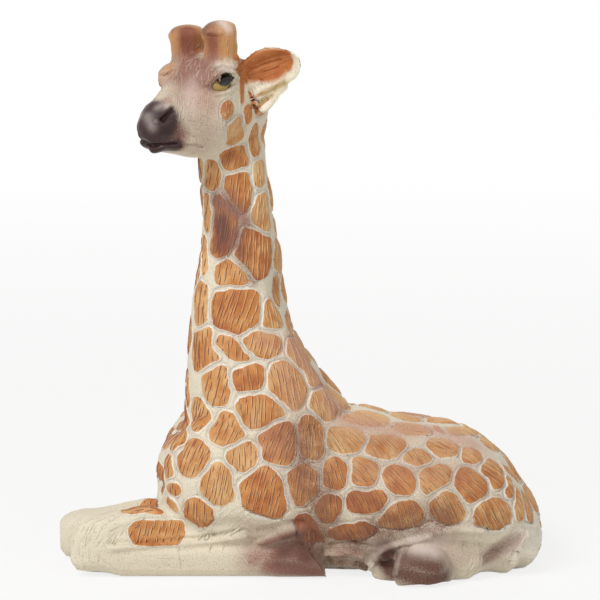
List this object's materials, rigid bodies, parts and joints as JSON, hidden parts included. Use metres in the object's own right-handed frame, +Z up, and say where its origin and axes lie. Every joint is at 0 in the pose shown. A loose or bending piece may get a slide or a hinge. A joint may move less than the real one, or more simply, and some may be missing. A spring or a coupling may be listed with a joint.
{
  "type": "toy giraffe figure",
  "caption": "Toy giraffe lying down with its neck upright and its head turned to its left, cast in parts, hand painted, flat underneath.",
  "frame": {"origin": "middle of the figure's outline box, on the plane it stands on", "axes": "+Z up; the body lies along X with the chest towards -X; the animal's left side faces -Y"},
  "size_m": [0.0878, 0.0412, 0.0989],
  "materials": {
    "spotted_coat": "matt hand paint on cast resin, brown patches in a cream net",
    "cream_coat": "matt hand paint on cast resin, sprayed mauve brown on the hooves and muzzle",
    "horn_brown": "matt hand paint on cast resin",
    "eye_black": "gloss black with clear varnish"
  },
  "bodies": {
    "root": {"torso": "spotted_coat", "neck": "spotted_coat", "head": "cream_coat", "left_ear": "spotted_coat", "right_ear": "spotted_coat", "left_ossicone": "horn_brown", "right_ossicone": "horn_brown", "left_eye": "eye_black", "right_eye": "eye_black", "left_foreleg": "cream_coat", "right_foreleg": "cream_coat", "left_hind_leg": "cream_coat", "right_hind_leg": "cream_coat", "tail": "spotted_coat"}
  },
  "joints": []
}
